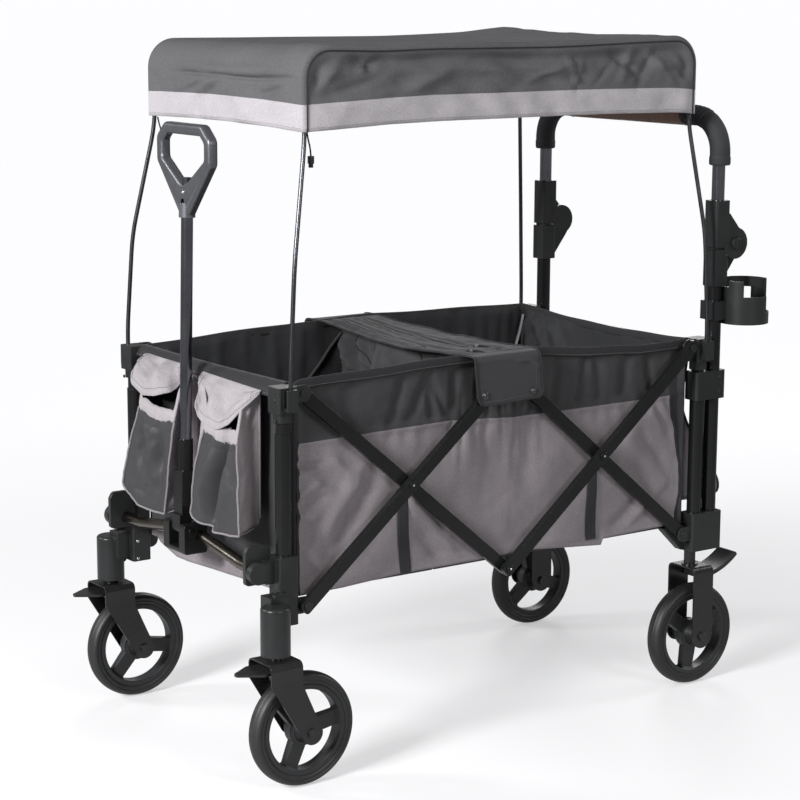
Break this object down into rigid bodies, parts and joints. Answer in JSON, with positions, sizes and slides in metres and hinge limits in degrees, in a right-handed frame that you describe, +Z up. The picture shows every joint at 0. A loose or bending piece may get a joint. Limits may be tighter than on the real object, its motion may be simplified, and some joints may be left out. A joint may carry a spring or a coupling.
{
  "type": "kids pull wagon",
  "caption": "Folding fabric wagon on four wheels with a pull handle, a push handle, a cup holder and a removable canopy.",
  "frame": {"origin": "on the floor, under the middle of the whole wagon's bounding box", "axes": "+X to the rear (push handle), -X to the front (pull handle), +Y across to the far side, +Z up"},
  "size_m": [1.077, 0.607, 1.122],
  "materials": {
    "frame_black": "satin",
    "fork_black": "satin",
    "plastic_black": "matte",
    "grip_plastic": "satin",
    "tyre_black": "matte",
    "rim_black": "satin",
    "handle_steel": "gloss",
    "foam_black": "matte",
    "leather_brown": "satin",
    "bow_rod": "satin",
    "fabric_charcoal": "matte",
    "fabric_grey": "matte",
    "webbing": "matte",
    "floor_board": "matte",
    "cord_black": "matte",
    "snap_metal": "satin"
  },
  "bodies": {
    "rear_frame": {"rear_post_tubes": "frame_black", "rear_feet": "plastic_black", "rear_lower_rail": "frame_black", "push_lower_tubes": "frame_black", "push_clamps": "plastic_black", "push_knuckles_lower": "plastic_black", "cup_holder": "plastic_black", "rear_forks": "fork_black"},
    "rear_top": {"rear_inner_posts": "frame_black", "rear_top_brackets": "plastic_black", "rear_top_rail": "frame_black", "tub": "fabric_grey", "floor_pad": "floor_board", "bridge_saddle": "fabric_charcoal", "divider_wall": "fabric_charcoal", "side_straps": "webbing", "rear_pocket": "fabric_grey", "flap_snaps": "snap_metal"},
    "front_frame": {"front_post_tubes": "frame_black", "front_feet": "plastic_black", "front_lower_rail": "frame_black", "pull_bracket": "frame_black"},
    "front_top": {"front_inner_posts": "frame_black", "front_top_brackets": "plastic_black", "front_top_rail": "frame_black", "front_pockets": "fabric_charcoal"},
    "arm_a": {"side_arms_a": "frame_black"},
    "arm_b": {"side_arms_b": "frame_black"},
    "arm_c": {"side_arms_c": "frame_black"},
    "arm_d": {"side_arms_d": "frame_black"},
    "canopy": {"canopy_bows": "bow_rod", "canopy_fabric": "fabric_charcoal", "canopy_cord_near": "cord_black", "canopy_cord_far": "cord_black", "cord_toggles": "plastic_black"},
    "caster_near": {"front_fork_near": "fork_black"},
    "caster_far": {"front_fork_far": "fork_black"},
    "wheel_front_near": {"tyre_front_near": "tyre_black", "rim_front_near": "rim_black"},
    "wheel_front_far": {"tyre_front_far": "tyre_black", "rim_front_far": "rim_black"},
    "wheel_rear_near": {"tyre_rear_near": "tyre_black", "rim_rear_near": "rim_black"},
    "wheel_rear_far": {"tyre_rear_far": "tyre_black", "rim_rear_far": "rim_black"},
    "front_brake_near": {"brake_lever_front_near": "fork_black"},
    "front_brake_far": {"brake_lever_front_far": "fork_black"},
    "rear_brake_near": {"brake_pedal_rear_near": "plastic_black"},
    "rear_brake_far": {"brake_pedal_rear_far": "plastic_black"},
    "pull_handle": {"pull_outer_tube": "frame_black"},
    "pull_mast": {"pull_inner_tube": "handle_steel", "pull_grip": "grip_plastic"},
    "pull_button": {"pull_release_button": "plastic_black"},
    "push_handle": {"push_knuckles_upper": "plastic_black", "push_upper_tube": "handle_steel", "handle_foam_bends": "foam_black", "handle_grip": "leather_brown"},
    "knuckle_button_near": {"knuckle_button_near": "plastic_black"},
    "knuckle_button_far": {"knuckle_button_far": "plastic_black"}
  },
  "joints": [
    {"name": "fold", "type": "hinge", "parent": "rear_frame", "child": "arm_d", "pos_m": [0.376, 0, 0.277], "axis": [0, 1, 0], "range_deg": [0, 41.3], "deforming": ["tub", "floor_pad", "bridge_saddle", "divider_wall", "side_straps", "flap_snaps"]},
    {"name": "arm_c_cross", "type": "hinge", "parent": "arm_d", "child": "arm_c", "pos_m": [0.1815, 0, 0.4415], "axis": [0, 1, 0], "range_deg": [-82.7, 0]},
    {"name": "rear_top_pivot", "type": "hinge", "parent": "arm_c", "child": "rear_top", "pos_m": [0.376, 0, 0.606], "axis": [0, 1, 0], "range_deg": [0, 41.4]},
    {"name": "top_hub", "type": "hinge", "parent": "arm_d", "child": "arm_b", "pos_m": [-0.013, 0, 0.606], "axis": [0, 1, 0], "range_deg": [-82.7, 0]},
    {"name": "front_foot_pivot", "type": "hinge", "parent": "arm_b", "child": "front_frame", "pos_m": [-0.402, 0, 0.277], "axis": [0, 1, 0], "range_deg": [0, 41.4]},
    {"name": "arm_a_cross", "type": "hinge", "parent": "arm_b", "child": "arm_a", "pos_m": [-0.2075, 0, 0.4415], "axis": [0, 1, 0], "range_deg": [0, 82.7]},
    {"name": "front_top_pivot", "type": "hinge", "parent": "arm_a", "child": "front_top", "pos_m": [-0.402, 0, 0.606], "axis": [0, 1, 0], "range_deg": [-41.4, 0]},
    {"name": "canopy_lift", "type": "slide", "parent": "rear_top", "child": "canopy", "axis": [0, 0, 1], "range_m": [0, 0.12]},
    {"name": "caster_swivel_near", "type": "hinge", "parent": "front_frame", "child": "caster_near", "pos_m": [-0.468, -0.266, 0.208], "axis": [0, 0, 1], "continuous": true},
    {"name": "caster_swivel_far", "type": "hinge", "parent": "front_frame", "child": "caster_far", "pos_m": [-0.468, 0.266, 0.208], "axis": [0, 0, 1], "continuous": true},
    {"name": "spin_front_near", "type": "hinge", "parent": "caster_near", "child": "wheel_front_near", "pos_m": [-0.423, -0.266, 0.09], "axis": [0, 1, 0], "continuous": true},
    {"name": "spin_front_far", "type": "hinge", "parent": "caster_far", "child": "wheel_front_far", "pos_m": [-0.423, 0.266, 0.09], "axis": [0, 1, 0], "continuous": true},
    {"name": "spin_rear_near", "type": "hinge", "parent": "rear_frame", "child": "wheel_rear_near", "pos_m": [0.414, -0.224, 0.09], "axis": [0, 1, 0], "continuous": true},
    {"name": "spin_rear_far", "type": "hinge", "parent": "rear_frame", "child": "wheel_rear_far", "pos_m": [0.414, 0.224, 0.09], "axis": [0, 1, 0], "continuous": true},
    {"name": "front_brake_near_press", "type": "hinge", "parent": "caster_near", "child": "front_brake_near", "pos_m": [-0.483, -0.266, 0.19], "axis": [0, 1, 0], "range_deg": [-12, 0]},
    {"name": "front_brake_far_press", "type": "hinge", "parent": "caster_far", "child": "front_brake_far", "pos_m": [-0.483, 0.266, 0.19], "axis": [0, 1, 0], "range_deg": [-12, 0]},
    {"name": "rear_brake_near_press", "type": "hinge", "parent": "rear_frame", "child": "rear_brake_near", "pos_m": [0.431, -0.224, 0.194], "axis": [0, 1, 0], "range_deg": [0, 18]},
    {"name": "rear_brake_far_press", "type": "hinge", "parent": "rear_frame", "child": "rear_brake_far", "pos_m": [0.431, 0.224, 0.194], "axis": [0, 1, 0], "range_deg": [0, 18]},
    {"name": "pull_handle_swing", "type": "hinge", "parent": "front_frame", "child": "pull_handle", "pos_m": [-0.48, 0, 0.359], "axis": [0, 1, 0], "range_deg": [-85, 0]},
    {"name": "pull_mast_slide", "type": "slide", "parent": "pull_handle", "child": "pull_mast", "axis": [0.0239, 0, 0.9997], "range_m": [-0.078, 0]},
    {"name": "pull_button_press", "type": "slide", "parent": "pull_mast", "child": "pull_button", "axis": [-0.0239, 0, -0.9997], "range_m": [0, 0.005], "stiffness_N_per_m": 300, "springref_m": -0.002},
    {"name": "push_handle_tilt", "type": "hinge", "parent": "rear_frame", "child": "push_handle", "pos_m": [0.472, 0, 0.778], "axis": [0, 1, 0], "range_deg": [0, 100]},
    {"name": "knuckle_press_near", "type": "slide", "parent": "push_handle", "child": "knuckle_button_near", "axis": [0, 1, 0], "range_m": [0, 0.003], "stiffness_N_per_m": 400, "springref_m": -0.001},
    {"name": "knuckle_press_far", "type": "slide", "parent": "push_handle", "child": "knuckle_button_far", "axis": [0, -1, 0], "range_m": [0, 0.003], "stiffness_N_per_m": 400, "springref_m": -0.001}
  ],
  "couplings": [
    {"joint": "arm_c_cross", "follows": "fold", "ratio": -2},
    {"joint": "rear_top_pivot", "follows": "fold", "ratio": 1},
    {"joint": "top_hub", "follows": "fold", "ratio": -2},
    {"joint": "front_foot_pivot", "follows": "fold", "ratio": 1},
    {"joint": "arm_a_cross", "follows": "fold", "ratio": 2},
    {"joint": "front_top_pivot", "follows": "fold", "ratio": -1}
  ]
}
